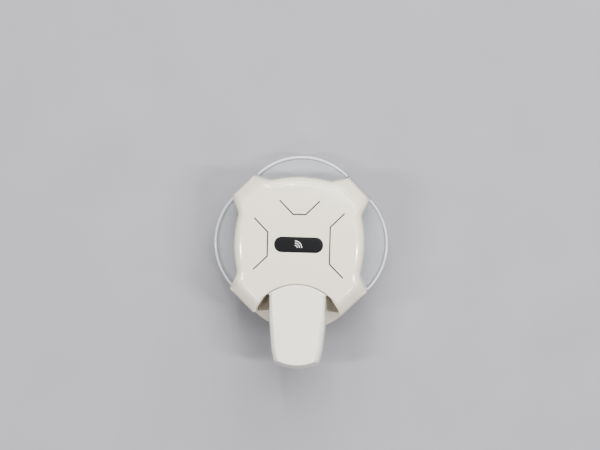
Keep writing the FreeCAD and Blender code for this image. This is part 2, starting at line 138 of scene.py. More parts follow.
def run_steps(length, spacing):
    """Steps along a straight run, which may be twice as long as those round a corner."""
    return max(1, round(length / (2 * spacing)))


def sampled(points, inset, spacing, draft=0.0):
    """Closed loop along an outline moved in by inset times each edge's weight, and by the draft.

    Crisp edges, of little weight, take only a share of the draft.
    The loop has the same number of points at every inset, so that loops join into walls."""
    count = len(points)
    moves = [inset * w + draft * (1.0 if w > FULL_DRAFT_WEIGHT else w) for _, _, _, w in points]
    lines = []
    lengths = []
    for i in range(count):
        start = Vector(points[i][:2])
        end = Vector(points[(i + 1) % count][:2])
        along = (end - start).normalized()
        inward = Vector((-along.y, along.x))
        lines.append((start + inward * moves[i], along))
        lengths.append((end - start).length)
    loop = []
    corners = []
    for i in range(count):
        p, d = lines[i - 1]
        q, e = lines[i]
        cross = d.x * e.y - d.y * e.x
        reach = ((q - p).x * e.y - (q - p).y * e.x) / cross
        vertex = p + d * reach
        shift = (moves[i - 1] + moves[i]) / 2
        radius = max(points[i][2] - math.copysign(shift, cross), MIN_CORNER_RADIUS)
        corners.append((vertex, radius, d, angle_between(d, e), cross))
    for i in range(count):
        vertex, radius, d, turn, cross = corners[i]
        steps = corner_steps(points[i][2], turn, spacing)
        back = radius * math.tan(turn / 2)
        start = vertex - d * back
        side = Vector((-d.y, d.x)) * math.copysign(1.0, cross)
        centre = start + side * radius
        for k in range(steps + 1):
            a = turn * k / steps
            loop.append(centre - side * (radius * math.cos(a)) + d * (radius * math.sin(a)))
        end = loop[-1]
        next_vertex, next_radius, next_along, next_turn, _ = corners[(i + 1) % count]
        target = next_vertex - next_along * (next_radius * math.tan(next_turn / 2))
        runs = run_steps(lengths[i], spacing)
        for k in range(1, runs):
            loop.append(end.lerp(target, k / runs))
    return loop


def ring(bm, loop, heights):
    """Vertices of a loop at the given heights."""
    return [bm.verts.new((p.x, p.y, z)) for p, z in zip(loop, heights)]


def wall(bm, lower, upper, skip=()):
    """Quads between two rings, but for the columns in skip."""
    count = len(lower)
    for i in range(count):
        if i not in skip:
            j = (i + 1) % count
            bm.faces.new((lower[i], lower[j], upper[j], upper[i]))


def cap(bm, ring_verts, height, spacing):
    """Fill a ring with triangles that follow a height function."""
    outline = [Vector((v.co.x, v.co.y)) for v in ring_verts]
    count = len(outline)
    low_x = min(p.x for p in outline)
    high_x = max(p.x for p in outline)
    low_y = min(p.y for p in outline)
    high_y = max(p.y for p in outline)
    clearance = (CAP_CLEARANCE * spacing) ** 2
    inner = []
    row = 0
    y = low_y + spacing / 2
    while y < high_y:
        x = low_x + spacing * (0.5 if row % 2 else 1.0)
        while x < high_x:
            p = Vector((x, y))
            if inside(p, outline) and min((p - q).length_squared for q in outline) > clearance:
                inner.append(p)
            x += spacing
        y += spacing * math.sqrt(3) / 2
        row += 1
    edges = [(i, (i + 1) % count) for i in range(count)]
    points, _, faces, origin, _, _ = delaunay_2d_cdt(outline + inner, edges, [], 1, 1e-7)
    made = []
    for p, source in zip(points, origin):
        if source and source[0] < count:
            made.append(ring_verts[source[0]])
        else:
            made.append(bm.verts.new((p.x, p.y, height(p.x, p.y))))
    for face in faces:
        if len(set(face)) == 3:
            bm.faces.new([made[i] for i in face])


def inside(p, outline):
    """Whether a point is in a closed outline."""
    hit = False
    previous = outline[-1]
    for q in outline:
        if (q.y > p.y) != (previous.y > p.y):
            if p.x < (previous.x - q.x) * (p.y - q.y) / (previous.y - q.y) + q.x:
                hit = not hit
        previous = q
    return hit


def soft_min(a, b, blend):
    """Smaller of two heights, with a rounded crease."""
    h = max(0.0, min(1.0, 0.5 + 0.5 * (b - a) / blend))
    return b + (a - b) * h - blend * h * (1 - h)


# Edge profiles from the shoulder to the top, as shares of the edge size moved in and left to rise
ROUND_EDGE = [(1 - math.cos(a * math.pi / 16), 1 - math.sin(a * math.pi / 16)) for a in range(1, 9)]
BEVELLED_EDGE = [(0.03, 0.93), (0.10, 0.80), (0.74, 0.16), (0.84, 0.06), (0.94, 0.01), (1.10, 0.0)]


# Rings of a shell with a doorway that lie at the edges of the doorway
INNER_LINTEL, INNER_SILL, OUTER_SILL, OUTER_LINTEL = 1, 2, 7, 8


def moulded_shell(points, top, bottom, wall_thickness, roof, edge, draft, spacing, door=None):
    """Hollow moulding, open below: drafted walls, a soft top edge and a roof of even thickness.

    edge is (size, profile, steepness), steepness being a function of place that makes the
    rise taller. door is (half width, bottom, top, front y, rear y) of an opening in the wall."""
    bm = bmesh.new()
    lip = 0.25
    door_gap = 0.1
    full = sampled(points, 0.0, spacing)
    floor = [bottom(p.x, p.y) for p in full]
    edge_size, profile, steepness = edge
    edge_sizes = [edge_size * w * steepness(p) for w, p in zip(edge_weights(points, spacing), full)]

    def drafted(extra):
        return sampled(points, extra, spacing, draft)

    outer_top = drafted(0.0)
    shoulder = [top(p.x, p.y) - r for p, r in zip(outer_top, edge_sizes)]
    rings = []
    inner_low = sampled(points, wall_thickness, spacing)
    inner_high = drafted(wall_thickness)
    ceiling = [top(p.x, p.y) - roof for p in inner_high]

    rings.append(ring(bm, inner_high, ceiling))
    if door:
        half_width, sill, lintel, front_y, rear_y = door
        rings.append(ring(bm, inner_high, [min(lintel, c - door_gap) for c in ceiling]))
        rings.append(ring(bm, inner_low, [sill] * len(full)))
    rings.append(ring(bm, inner_low, [z + lip for z in floor]))
    rings.append(ring(bm, sampled(points, wall_thickness - lip, spacing), floor))
    rings.append(ring(bm, sampled(points, lip, spacing), floor))
    rings.append(ring(bm, full, [z + lip for z in floor]))
    if door:
        rings.append(ring(bm, full, [sill] * len(full)))
        rings.append(ring(bm, outer_top, [min(lintel, s - door_gap) for s in shoulder]))
    rings.append(ring(bm, outer_top, shoulder))
    for inward, rise_left in profile:
        loop = drafted(edge_size * inward)
        heights = [top(p.x, p.y) - r * rise_left for p, r in zip(loop, edge_sizes)]
        rings.append(ring(bm, loop, heights))
    skip = set()
    if door:
        for i, p in enumerate(full):
            following = full[(i + 1) % len(full)]
            low_y, high_y = sorted((p.y, following.y))
            if min(abs(p.x), abs(following.x)) < half_width and front_y < low_y and high_y < rear_y:
                skip.add(i)
    for k in range(len(rings) - 1):
        opened = door and k in (INNER_LINTEL, OUTER_SILL)
        wall(bm, rings[k], rings[k + 1], skip if opened else ())
    if door:
        frame_door(bm, rings, skip)
    cap(bm, rings[-1], top, spacing)
    cap(bm, rings[0], lambda x, y: top(x, y) - roof, 3 * spacing)
    return bm


def frame_door(bm, rings, skip):
    """Sill, lintel and jambs between the inner wall and the outer wall of a doorway."""
    count = len(rings[0])
    inner_top, inner_sill = rings[INNER_LINTEL], rings[INNER_SILL]
    outer_sill, outer_top = rings[OUTER_SILL], rings[OUTER_LINTEL]
    for i in skip:
        j = (i + 1) % count
        bm.faces.new((inner_sill[i], inner_sill[j], outer_sill[j], outer_sill[i]))
        bm.faces.new((outer_top[i], outer_top[j], inner_top[j], inner_top[i]))
        for c, neighbour in ((i, (i - 1) % count), (j, j)):
            if neighbour not in skip:
                bm.faces.new((inner_sill[c], outer_sill[c], outer_top[c], inner_top[c]))


def edge_weights(points, spacing):
    """Edge weight at each point of the sampled loop, shared out along the corners."""
    count = len(points)
    weights = []
    for i in range(count):
        start = Vector(points[i - 1][:2])
        here = Vector(points[i][:2])
        end = Vector(points[(i + 1) % count][:2])
        turn = angle_between((here - start).normalized(), (end - here).normalized())
        steps = corner_steps(points[i][2], turn, spacing)
        before, after = points[i - 1][3], points[i][3]
        weights += [before + (after - before) * k / steps for k in range(steps + 1)]
        weights += [after] * (run_steps((end - here).length, spacing) - 1)
    return weights


def add_box(bm, x, y, z, bevel=0.3):
    """Box with rounded edges."""
    size = Vector((x[1] - x[0], y[1] - y[0], z[1] - z[0]))
    centre = Vector(((x[0] + x[1]) / 2, (y[0] + y[1]) / 2, (z[0] + z[1]) / 2))
    matrix = Matrix.Translation(centre) @ Matrix.Diagonal((*size, 1.0))
    made = bmesh.ops.create_cube(bm, size=1.0, matrix=matrix)
    edges = dict.fromkeys(edge for vert in made["verts"] for edge in vert.link_edges)
    bmesh.ops.bevel(bm, geom=list(edges), offset=bevel, segments=2, affect="EDGES", profile=0.5)


def add_tube(bm, start, axis, length, outer, inner):
    """Turned ring with chamfered ends."""
    chamfer = 0.25
    segments = 56
    axis = Vector(axis).normalized()
    across = axis.orthogonal().normalized()
    other = axis.cross(across)
    profile = [
        (inner + chamfer, 0.0),
        (outer - chamfer, 0.0),
        (outer, chamfer),
        (outer, length - chamfer),
        (outer - chamfer, length),
        (inner + chamfer, length),
        (inner, length - chamfer),
        (inner, chamfer),
    ]
    rings = []
    for radius, along in profile:
        loop = []
        for k in range(segments):
            a = 2 * math.pi * k / segments
            place = Vector(start) + axis * along + (across * math.cos(a) + other * math.sin(a)) * radius
            loop.append(bm.verts.new(place))
        rings.append(loop)
    for k in range(len(rings) - 1):
        wall(bm, rings[k], rings[k + 1])
    wall(bm, rings[-1], rings[0])


# ---------------------------------------------------------------- materials

# Depth of the relief, in metres
FINE_GRAIN = 0.00002
COARSE_GRAIN = 0.00005


def new_material(name):
    """Node material with one shader, and its node tree and shader."""
    material = bpy.data.materials.new(name)
    material.use_nodes = True
    tree = material.node_tree
    tree.nodes.clear()
    output = tree.nodes.new("ShaderNodeOutputMaterial")
    shader = tree.nodes.new("ShaderNodeBsdfPrincipled")
    tree.links.new(shader.outputs["BSDF"], output.inputs["Surface"])
    return material, tree, shader


def noise(tree, scale, detail=3.0, roughness=0.5, stretch=None):
    """Noise in object space, stretched along an axis where asked."""
    place = tree.nodes.new("ShaderNodeTexCoord")
    texture = tree.nodes.new("ShaderNodeTexNoise")
    texture.inputs["Scale"].default_value = scale
    texture.inputs["Detail"].default_value = detail
    texture.inputs["Roughness"].default_value = roughness
    if stretch:
        mapping = tree.nodes.new("ShaderNodeMapping")
        mapping.inputs["Scale"].default_value = stretch
        tree.links.new(place.outputs["Object"], mapping.inputs["Vector"])
        tree.links.new(mapping.outputs["Vector"], texture.inputs["Vector"])
    else:
        tree.links.new(place.outputs["Object"], texture.inputs["Vector"])
    return texture.outputs["Fac"]


def ramp(tree, source, low, high):
    """Colour ramp between two colours or two grey values, over the middle of a noise's range."""
    start, end = 0.3, 0.7
    node = tree.nodes.new("ShaderNodeValToRGB")
    for element, value, place in zip(node.color_ramp.elements, (low, high), (start, end)):
        element.position = place
        element.color = (*value, 1.0) if hasattr(value, "__len__") else (value, value, value, 1.0)
    tree.links.new(source, node.inputs["Fac"])
    return node.outputs["Color"]


def bump(tree, source, shader, strength, distance):
    """Fine relief of a surface."""
    node = tree.nodes.new("ShaderNodeBump")
    node.inputs["Strength"].default_value = strength
    node.inputs["Distance"].default_value = distance
    tree.links.new(source, node.inputs["Height"])
    tree.links.new(node.outputs["Normal"], shader.inputs["Normal"])


def moulded_plastic(name, low, high, roughness, grain=FINE_GRAIN):
    """Moulded plastic: faint flow clouds in the colour, fine grain in gloss and relief."""
    material, tree, shader = new_material(name)
    clouds = noise(tree, 45.0, 2.0)
    tree.links.new(ramp(tree, clouds, low, high), shader.inputs["Base Color"])
    speck = noise(tree, 900.0, 4.0, 0.6)
    gloss = ramp(tree, speck, roughness - 0.05, roughness + 0.06)
    tree.links.new(gloss, shader.inputs["Roughness"])
    bump(tree, speck, shader, 0.12, grain)
    shader.inputs["IOR"].default_value = 1.52
    return material


def clear_plastic(name, low, high, opacity):
    """Clear moulded styrene with a trace of haze."""
    material, tree, shader = new_material(name)
    clouds = noise(tree, 60.0, 2.0)
    tree.links.new(ramp(tree, clouds, low, high), shader.inputs["Base Color"])
    haze = noise(tree, 400.0, 3.0)
    tree.links.new(ramp(tree, haze, 0.06, 0.14), shader.inputs["Roughness"])
    shader.inputs["Alpha"].default_value = opacity
    shader.inputs["IOR"].default_value = 1.55
    return material


def worked_steel(name, low, high, roughness, stretch, scale=500.0):
    """Steel with marks stretched along one axis by its finishing."""
    material, tree, shader = new_material(name)
    marks = noise(tree, scale, 4.0, stretch=stretch)
    tree.links.new(ramp(tree, marks, low, high), shader.inputs["Base Color"])
    gloss = ramp(tree, marks, roughness - 0.08, roughness + 0.1)
    tree.links.new(gloss, shader.inputs["Roughness"])
    bump(tree, marks, shader, 0.25, FINE_GRAIN)
    shader.inputs["Metallic"].default_value = 1.0
    return material


def printed_ink(name, low, high):
    """Screen-printed ink with small pinholes of gloss."""
    material, tree, shader = new_material(name)
    speck = noise(tree, 2500.0, 3.0)
    tree.links.new(ramp(tree, speck, low, high), shader.inputs["Base Color"])
    tree.links.new(ramp(tree, speck, 0.35, 0.5), shader.inputs["Roughness"])
    shader.inputs["Specular IOR Level"].default_value = 0.12
    return material


IVORY = moulded_plastic("ivory_abs_look", (0.752, 0.688, 0.555), (0.782, 0.720, 0.590), 0.12)
LEVER_IVORY = moulded_plastic("lever_abs_look", (0.815, 0.785, 0.690), (0.845, 0.815, 0.725), 0.18)
CLEAR = clear_plastic("clear_styrene_look", (0.60, 0.63, 0.66), (0.70, 0.73, 0.76), 0.20)
# Painted highlight: the rim bead's clear plastic is lighter and more opaque than the wings', standing
# in for the light its rounded edge catches.
CLEAR_RIM_PAINTED_HIGHLIGHT = clear_plastic("clear_rim_painted_highlight_look", (0.80, 0.83, 0.85), (0.90, 0.93, 0.95), 0.55)
NYLON = moulded_plastic("nylon_look", (0.018, 0.018, 0.020), (0.030, 0.030, 0.033), 0.55, COARSE_GRAIN)
INK = printed_ink("grey_ink_look", (0.022, 0.022, 0.020), (0.036, 0.035, 0.032))
BADGE = printed_ink("badge_ink_look", (0.0015, 0.0015, 0.0022), (0.003, 0.003, 0.004))
PALE_INK = printed_ink("pale_ink_look", (0.60, 0.60, 0.58), (0.72, 0.72, 0.70))
TOOL_STEEL = worked_steel(
    "tool_steel_look", (0.30, 0.30, 0.32), (0.46, 0.46, 0.48), 0.30, (1.0, 1.0, 0.06)
)
PLATE_STEEL = worked_steel(
    "plate_steel_look", (0.42, 0.42, 0.43), (0.58, 0.58, 0.59), 0.30, (0.05, 1.0, 1.0)
)
PIN_STEEL = worked_steel(
    "pin_steel_look", (0.55, 0.55, 0.56), (0.68, 0.68, 0.69), 0.16, (0.2, 1.0, 1.0), 800.0
)
SPRING_STEEL = worked_steel(
    "spring_steel_look", (0.34, 0.34, 0.35), (0.48, 0.48, 0.49), 0.30, (1.0, 1.0, 1.0), 1500.0
)
ZINC = worked_steel("zinc_look", (0.50, 0.51, 0.53), (0.64, 0.66, 0.68), 0.34, (1.0, 1.0, 1.0), 900.0)

LOOK_OF_SLOT = {
    "ivory_abs": IVORY,
    "clear_plastic": CLEAR,
    "dark_nylon": NYLON,
    "tool_steel": TOOL_STEEL,
    "brushed_steel": PLATE_STEEL,
    "polished_steel": PIN_STEEL,
    "spring_wire": SPRING_STEEL,
    "zinc_screws": ZINC,
}


EDGE_BREAK = 0.15
EDGE_BREAK_DEGREES = 40


def dress_cad_nodes():
    """Give each CAD node its look, and break its sharp edges."""
    for entry in frame["record"]["subparts"]:
        node = frame["nodes"][entry["node"]]
        for place in node.material_slots:
            place.material = LOOK_OF_SLOT[entry["material_slot"]]
        bevel = node.modifiers.new("edge_break", "BEVEL")
        bevel.width = EDGE_BREAK * MM
        bevel.segments = 2
        bevel.limit_method = "ANGLE"
        bevel.angle_limit = math.radians(EDGE_BREAK_DEGREES)
        bevel.use_clamp_overlap = True


# ---------------------------------------------------------------- the body

# How round the top edge is along each stretch, as a share of the cover's edge radius
SIDE_WEIGHT = 1.0
CORNER_WEIGHT = 0.34
NOTCH_WEIGHT = 0.32
NOTCH_SHOULDER_WEIGHT = 0.42
ARCH_WEIGHT = 0.15

COVER_WALL = 2.0
COVER_ROOF = 2.2
COVER_EDGE = 3.3
COVER_DRAFT = 0.35
COVER_SPACING = 0.65
SLOPE_BLEND = 1.8
ARCH_ROUND = 0.98
BOSS_PLACE = 19.1
BOSS_HEIGHT = 21.5
BOSS_RADIUS = 3.5
BOSS_BORE = 1.35


def cover_outline():
    """Plan of the cover: three scalloped sides, and the arched notch for the lever."""
    points = []
    for angle, (tip, neck, bulge) in SIDES.items():
        side = [
            (tip[0], -tip[1], 1.0, SIDE_WEIGHT),
            (neck[0], -neck[1], 5.0, SIDE_WEIGHT),
            (bulge, 0.0, 48.0, SIDE_WEIGHT),
            (neck[0], neck[1], 5.0, SIDE_WEIGHT),
            (tip[0], tip[1], 1.0, CORNER_WEIGHT),
        ]
        points += turned(side, angle)
    arch_slope = NOTCH_TOP[0] / (NOTCH_TOP[1] - ARCH_CENTRE_Y)
    arch_y = NOTCH_TOP[1] + NOTCH_TOP[0] * arch_slope
    return points + [
        (-NOTCH_END[0], NOTCH_END[1], 1.2, NOTCH_WEIGHT),
        (-NOTCH_MIDDLE[0], NOTCH_MIDDLE[1], 3.0, NOTCH_SHOULDER_WEIGHT),
        (-NOTCH_TOP[0], NOTCH_TOP[1], 0.8, ARCH_WEIGHT),
        (0.0, arch_y, ARCH_RADIUS * ARCH_ROUND, ARCH_WEIGHT),
        (NOTCH_TOP[0], NOTCH_TOP[1], 0.8, NOTCH_SHOULDER_WEIGHT),
        (NOTCH_MIDDLE[0], NOTCH_MIDDLE[1], 3.0, NOTCH_WEIGHT),
        (NOTCH_END[0], NOTCH_END[1], 1.2, CORNER_WEIGHT),
    ]


def cover_height(x, y):
    """Crowned roof that slopes down at the four corners."""
    crown = COVER_TOP - CROWN_RADIUS + math.sqrt(CROWN_RADIUS ** 2 - x * x - y * y)
    diagonal = (abs(x) + abs(y)) / math.sqrt(2)
    beside = (abs(x) - abs(y)) / math.sqrt(2)
    slope = CORNER_SLOPE_LEVEL - (diagonal - CORNER_SLOPE_START) * CORNER_SLOPE_FALL
    slope -= beside * beside / (2 * CORNER_CROWN_RADIUS)
    return soft_min(crown, slope, SLOPE_BLEND)


def make_cover():
    """The ivory shell, with its four screw bosses inside."""
    door = (DOOR_HALF_WIDTH, DOOR_BOTTOM, DOOR_TOP, DOOR_FRONT_Y, DOOR_REAR_Y)
    edge = (COVER_EDGE, ROUND_EDGE, lambda p: 1.0)
    bm = moulded_shell(
        cover_outline(), cover_height, lambda x, y: SLOT_TOP, COVER_WALL, COVER_ROOF, edge,
        COVER_DRAFT, COVER_SPACING, door
    )
    for sx in (-1, 1):
        for sy in (-1, 1):
            foot = (sx * BOSS_PLACE, sy * BOSS_PLACE, SLOT_TOP)
            add_tube(bm, foot, (0, 0, 1), BOSS_HEIGHT, BOSS_RADIUS, BOSS_BORE)
    cover = collected("cover_shell", bm, IVORY, "housing")
    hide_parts("top_cover")


STRIP_THICKNESS = 0.07
STRIP_MITRE_LIMIT = 0.3
MARK_ARM = 5.7
MARK_WIDTH = 0.58


def printed_strip(bm, path, width):
    """Flat printed line that follows the roof, along a path of points in plan."""
    half = width / 2
    stations = []
    for i, p in enumerate(path):
        before = (p - path[i - 1]).normalized() if i else (path[1] - p).normalized()
        after = (path[i + 1] - p).normalized() if i < len(path) - 1 else before
        along = (before + after).normalized()
        across = Vector((-along.y, along.x)) / max(STRIP_MITRE_LIMIT, along.dot(before))
        stations.append((p + across * half, p - across * half))
    rows = []
    for left, right in stations:
        row = []
        for q in (left, right):
            z = cover_height(q.x, q.y)
            low = bm.verts.new((q.x, q.y, z - STRIP_THICKNESS / 2))
            row.append((low, bm.verts.new((q.x, q.y, z + STRIP_THICKNESS / 2))))
        rows.append(row)
    for i in range(len(rows) - 1):
        (la, lb), (ra, rb) = rows[i]
        (lc, ld), (rc, rd) = rows[i + 1]
        bm.faces.new((lb, ld, rd, rb))
        bm.faces.new((la, ra, rc, lc))
        bm.faces.new((la, lc, ld, lb))
        bm.faces.new((ra, rb, rd, rc))
    for row in (rows[0], rows[-1]):
        (a, b), (c, d) = row
        bm.faces.new((a, b, d, c))


def divided(points, spacing):
    """Path with its straight runs divided evenly."""
    path = [points[0]]
    for a, b in zip(points, points[1:]):
        steps = max(1, round((b - a).length / spacing))
        path += [a.lerp(b, k / steps) for k in range(1, steps + 1)]
    return path


def make_guide_marks():
    """One printed mark for each station: the cut's chord, and an arm along each paper edge."""
    for name, angle, place, half in STATIONS:
        corners = [
            Vector((place + MARK_ARM, -half - MARK_ARM)),
            Vector((place, -half)),
            Vector((place, half)),
            Vector((place + MARK_ARM, half + MARK_ARM)),
        ]
        turn = Matrix.Rotation(math.radians(angle), 2)
        bm = bmesh.new()
        printed_strip(bm, divided([turn @ p for p in corners], 1.0), MARK_WIDTH)
        collected("guide_mark_" + name, bm, INK, "housing")


BADGE_HALF_LENGTH = 10.2
BADGE_HALF_WIDTH = 3.3
BADGE_ROUND = 0.98
BADGE_LIFT = 0.01
BADGE_DEPTH = 0.06
BADGE_EDGE = (0.12, 0.02)
BADGE_SPACING = 0.5
BADGE_TOP_SPACING = 1.2
BADGE_BASE_SPACING = 3.0
SIGN_CORNER = (-1.5, -1.2)
SIGN_RADII = (1.0, 1.9, 2.8)
SIGN_WIDTH = 0.32
SIGN_STEPS = 12


def add_badge_plate(bm):
    """Flat capsule that follows the roof."""
    length, width = BADGE_HALF_LENGTH, BADGE_HALF_WIDTH
    corners = ((length, -width), (length, width), (-length, width), (-length, -width))
    outline = [(x, y, width * BADGE_ROUND, 1.0) for x, y in corners]
    loop = sampled(outline, 0.0, BADGE_SPACING)
    inner = sampled(outline, BADGE_EDGE[0], BADGE_SPACING)
    low = ring(bm, loop, [cover_height(p.x, p.y) - BADGE_DEPTH for p in loop])
    shoulder = ring(bm, loop, [cover_height(p.x, p.y) + BADGE_LIFT - BADGE_EDGE[1] for p in loop])
    high = ring(bm, inner, [cover_height(p.x, p.y) + BADGE_LIFT for p in inner])
    wall(bm, low, shoulder)
    wall(bm, shoulder, high)
    cap(bm, high, lambda x, y: cover_height(x, y) + BADGE_LIFT, BADGE_TOP_SPACING)
    cap(bm, low, lambda x, y: cover_height(x, y) - BADGE_DEPTH, BADGE_BASE_SPACING)


def make_badge():
    """Plain dark capsule with a generic sign: three quarter arcs of different radius."""
    bm = bmesh.new()
    add_badge_plate(bm)
    collected("badge_plate", bm, BADGE, "housing")
    bm = bmesh.new()
    corner = Vector(SIGN_CORNER)
    for radius in SIGN_RADII:
        arc = []
        for k in range(SIGN_STEPS + 1):
            a = math.pi / 2 * k / SIGN_STEPS
            arc.append(corner + Vector((math.cos(a), math.sin(a))) * radius)
        printed_strip(bm, arc, SIGN_WIDTH)
    collected("badge_sign", bm, PALE_INK, "housing")


# ---------------------------------------------------------------- the lever

LEVER_WALL = 1.8
LEVER_ROOF = 2.0
LEVER_EDGE = 2.2
LEVER_DRAFT = 0.75
LEVER_SPACING = 0.6
ARCH_CLEARANCE = 0.1
RIGHT_WEIGHTS = (0.7, 0.7, 0.5)
LEFT_WEIGHTS = (0.7, 0.7, 0.6)
REAR_WEIGHT = 0.17
TIP_WEIGHT = 0.6
REAR_CORNER_RADIUS = 1.0
TOP_REAR_Y, TOP_TIP_Y = -16.8, -51.5
TOP_REAR_Z = 40.35
TOP_FALL = 1.5
TOP_CURVE_FALL = 1.9
TOP_CROWN = 300.0
TIP_BAND_START = -48.5
TIP_BAND_FADE = 1.8
TIP_STEEPNESS = 2.4
SKIRT_BOTTOM = 28.5
SKIRT_RISE = 0.8
SKIRT_RISE_START = -38.0
SKIRT_RISE_LENGTH = 13.5
ARM_INNER, ARM_OUTER = 8.6, 11.0
ARM_FRONT, ARM_REAR = -18.2, 20.0
ARM_DECK = (34.5, 37.4)
ARM_CHEEK = (31.5, 34.8)
LUG_LENGTH, LUG_RADIUS, LUG_BORE = 2.4, 3.2, 1.5
LUG_NECK_HALF = 3.1
LUG_NECK = (31.0, 32.5)
PIVOT_BOSS_RADIUS, PIVOT_BOSS_BORE = 3.4, 1.55
RIB_PLACE = 4.2
RIB_HALF_WIDTH = 0.6
RIB_ALONG = (-47.5, -18.0)
RIB_HEIGHT = (30.5, 36.0)


def share_past(start, y, length):
    """How far y is past a start towards the tip, as a share of a length from 0 to 1."""
    return max(0.0, min(1.0, (start - y) / length))


def lever_outline():
    """Plan of the grip."""
    radius = ARCH_RADIUS - ARCH_CLEARANCE
    corner_y = ARCH_CENTRE_Y + math.sqrt(radius ** 2 - HANDLE_HALF_WIDTH ** 2)
    rear_y = corner_y + HANDLE_HALF_WIDTH ** 2 / (corner_y - ARCH_CENTRE_Y)
    right = [(x, y, r, w) for (x, y, r), w in zip(HANDLE_SIDE, RIGHT_WEIGHTS)]
    left = [(-x, y, r, w) for (x, y, r), w in zip(reversed(HANDLE_SIDE), LEFT_WEIGHTS)]
    rear = [
        (HANDLE_HALF_WIDTH, corner_y, REAR_CORNER_RADIUS, REAR_WEIGHT),
        (0.0, rear_y, radius * ARCH_ROUND, REAR_WEIGHT),
        (-HANDLE_HALF_WIDTH, corner_y, REAR_CORNER_RADIUS, RIGHT_WEIGHTS[-1]),
    ]
    return right + rear + left + [(0.0, *HANDLE_NOSE, TIP_WEIGHT)]


def lever_height(x, y):
    """Top of the grip: level with the cover at the arch, falling in a shallow curve to the tip."""
    share = (y - TOP_REAR_Y) / (TOP_TIP_Y - TOP_REAR_Y)
    return TOP_REAR_Z - TOP_FALL * share - TOP_CURVE_FALL * share * share - x * x / TOP_CROWN


def lever_steepness(p):
    """The edge is much steeper at the tip than along the sides, which makes a band there."""
    return 1.0 + TIP_STEEPNESS * share_past(TIP_BAND_START, p.y, TIP_BAND_FADE)


def lever_bottom(x, y):
    """Lower edge of the grip's skirt, rising a little towards the tip."""
    return SKIRT_BOTTOM + SKIRT_RISE * share_past(SKIRT_RISE_START, y, SKIRT_RISE_LENGTH)


def fix_order(bm):
    """Put vertices and faces in order of place, since a bevel leaves them in any order."""
    for i, vert in enumerate(sorted(bm.verts, key=lambda v: v.co[:])):
        vert.index = i
    bm.verts.sort()
    for i, face in enumerate(sorted(bm.faces, key=lambda f: sorted(v.index for v in f.verts))):
        face.index = i
    bm.faces.sort()


def make_lever():
    """Hollow grip, and the arm inside the body with its nose lugs and pivot boss."""
    edge = (LEVER_EDGE, BEVELLED_EDGE, lever_steepness)
    bm = moulded_shell(
        lever_outline(), lever_height, lever_bottom, LEVER_WALL, LEVER_ROOF, edge,
        LEVER_DRAFT, LEVER_SPACING
    )
    add_box(bm, (-ARM_OUTER, ARM_OUTER), (ARM_FRONT, ARM_REAR), ARM_DECK)
    for side in (-1, 1):
        x = sorted((side * ARM_INNER, side * ARM_OUTER))
        add_box(bm, x, (ARM_FRONT, ARM_REAR), ARM_CHEEK)
        add_tube(bm, (x[0], *NOSE), (1, 0, 0), LUG_LENGTH, LUG_RADIUS, LUG_BORE)
        add_box(bm, x, (NOSE[0] - LUG_NECK_HALF, NOSE[0] + LUG_NECK_HALF), LUG_NECK, 0.1)
    boss_start = (-ARM_OUTER, *PIVOT)
    add_tube(bm, boss_start, (1, 0, 0), 2 * ARM_OUTER, PIVOT_BOSS_RADIUS, PIVOT_BOSS_BORE)
    for x in (-RIB_PLACE, RIB_PLACE):
        add_box(bm, (x - RIB_HALF_WIDTH, x + RIB_HALF_WIDTH), RIB_ALONG, RIB_HEIGHT)
    fix_order(bm)
    lever = collected("lever_moulding", bm, LEVER_IVORY, "lever")
    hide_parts("press_lever")


# ---------------------------------------------------------------- chip tray

RIM_INSET = 0.02
RIM_SINK = 0.1
RIM_SIDES = 14


def make_wing_rims():
    """Rounded bead along the outer edge of each clear wing, in a lighter, more opaque copy of the clear
    plastic that paints a highlight along the rim.
    """
    reach = FLAT_REACH * math.sqrt(2)
    lobes = []
    for angle in (0, 90, 180, 270):
        lobes += turned([(reach, 0.0, LOBE_RADIUS, 1.0)], angle)
    centre_line = sampled(lobes, RIM_RADIUS + RIM_INSET, 0.4)
    for name, angle in (("right", 0), ("rear", 90), ("left", 180)):
        out = Vector((math.cos(math.radians(angle)), math.sin(math.radians(angle))))
        along = Vector((-out.y, out.x))
        path = [p for p in centre_line if p.dot(out) > 0 and abs(p.dot(along)) < WING_HALF_LENGTH]
        path.sort(key=lambda p: p.dot(along))
        bm = bmesh.new()
        rings = []
        for i, p in enumerate(path):
            run = (path[min(i + 1, len(path) - 1)] - path[max(i - 1, 0)]).normalized()
            outward = Vector((run.y, -run.x))
            loop = []
            for k in range(RIM_SIDES):
                a = 2 * math.pi * k / RIM_SIDES
                q = p + outward * (RIM_RADIUS * math.cos(a))
                z = WING_TOP - RIM_SINK + RIM_RADIUS * math.sin(a)
                loop.append(bm.verts.new((q.x, q.y, z)))
            rings.append(loop)
        for lower, upper in zip(rings, rings[1:]):
            wall(bm, lower, upper)
        bm.faces.new(rings[0])
        bm.faces.new(rings[-1])
        collected("wing_rim_" + name, bm, CLEAR_RIM_PAINTED_HIGHLIGHT, "tray", 60.0)


# ---------------------------------------------------------------- springs

SPRING_ENDS = ("front_left", "front_right", "rear_left", "rear_right")
SPRING_LOW, SPRING_HIGH = 16.2, 23.0
SPRING_RADIUS = 2.2
SPRING_TURNS = 6.5
SPRING_STEPS = 260
WIRE_RADIUS = 0.25
WIRE_SIDES = 10
CLOSED_RISE = 2 * WIRE_RADIUS * 0.9


def spring_height(share):
    """Height of the wire's middle: one closed turn at each end, and even turns between."""
    turns_done = share * SPRING_TURNS
    turns_left = (1 - share) * SPRING_TURNS
    open_share = max(0.0, min(1.0, (turns_done - 1.0) / (SPRING_TURNS - 2.0)))
    z = SPRING_LOW + WIRE_RADIUS + CLOSED_RISE * min(1.0, turns_done)
    z += (SPRING_HIGH - SPRING_LOW - 2 * WIRE_RADIUS - 2 * CLOSED_RISE) * open_share
    return z + CLOSED_RISE * (1 - min(1.0, turns_left))


